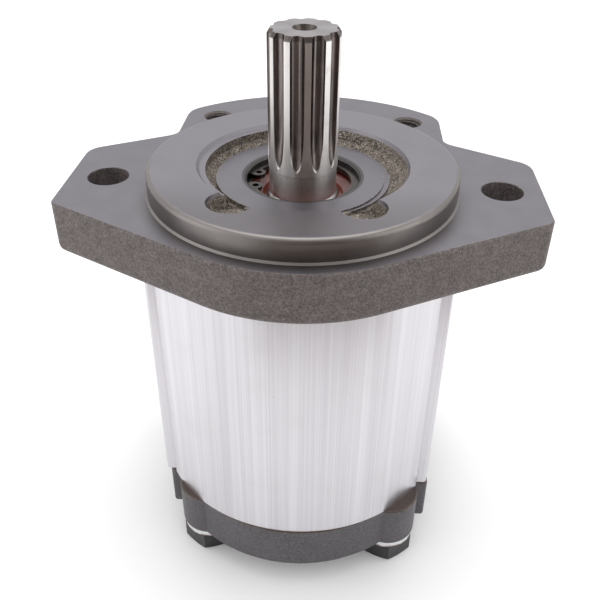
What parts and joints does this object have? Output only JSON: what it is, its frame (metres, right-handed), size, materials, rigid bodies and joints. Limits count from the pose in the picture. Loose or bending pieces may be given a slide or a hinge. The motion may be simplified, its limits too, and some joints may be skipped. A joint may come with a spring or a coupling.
{
  "type": "hydraulic gear pump",
  "caption": "Hydraulic external gear pump: cast flange with pilot, splined drive shaft, extruded aluminium body and cast rear cover held by through bolts.",
  "frame": {"origin": "on the drive shaft axis in the flange's mounting face, midway between the two mounting holes", "axes": "+Z out along the drive shaft, +X towards the outlet port, +Y from the drive gear to the idler gear"},
  "size_m": [0.128, 0.1143, 0.1571],
  "materials": {
    "cast_flange": "phosphated grey iron with machined faces",
    "extruded_body": "bare extruded aluminium",
    "cast_cover": "dark phosphated grey iron",
    "ground_steel": "hardened and ground steel",
    "bearing_aluminium": "machined aluminium",
    "bush_bronze": "bronze-backed sliding bush",
    "seal_rubber": "black nitrile rubber",
    "backup_plastic": "natural nylon",
    "dowel_steel": "ground steel",
    "black_bolt": "black oxide steel",
    "zinc_washer": "bright zinc plate",
    "seal_case_steel": "pressed steel",
    "lip_rubber": "red-brown fluorocarbon rubber",
    "ring_steel": "phosphated spring steel"
  },
  "bodies": {
    "housing": {"front_flange": "cast_flange", "pump_body": "extruded_body", "rear_cover": "cast_cover", "front_bearing_block": "bearing_aluminium", "rear_bearing_block": "bearing_aluminium", "drive_front_bush": "bush_bronze", "drive_rear_bush": "bush_bronze", "idler_front_bush": "bush_bronze", "idler_rear_bush": "bush_bronze", "front_pressure_seal": "seal_rubber", "rear_pressure_seal": "seal_rubber", "front_backup_ring": "backup_plastic", "rear_backup_ring": "backup_plastic", "front_body_seal": "seal_rubber", "rear_body_seal": "seal_rubber", "front_dowel_pins": "dowel_steel", "rear_dowel_pins": "dowel_steel", "body_bolts": "black_bolt", "bolt_washers": "zinc_washer", "shaft_seal_case": "seal_case_steel", "shaft_seal_lip": "lip_rubber", "shaft_seal_spring": "seal_case_steel", "retaining_ring": "ring_steel"},
    "drive_shaft": {"drive_gear_shaft": "ground_steel"},
    "idler_shaft": {"idler_gear_shaft": "ground_steel"}
  },
  "joints": [
    {"name": "drive_spin", "type": "hinge", "parent": "housing", "child": "drive_shaft", "pos_m": [0, 0, 0], "axis": [0, 0, 1], "continuous": true},
    {"name": "idler_spin", "type": "hinge", "parent": "housing", "child": "idler_shaft", "pos_m": [0, 0.0245, -0.0535], "axis": [0, 0, 1], "continuous": true}
  ],
  "couplings": [
    {"joint": "idler_spin", "follows": "drive_spin", "ratio": -1}
  ]
}
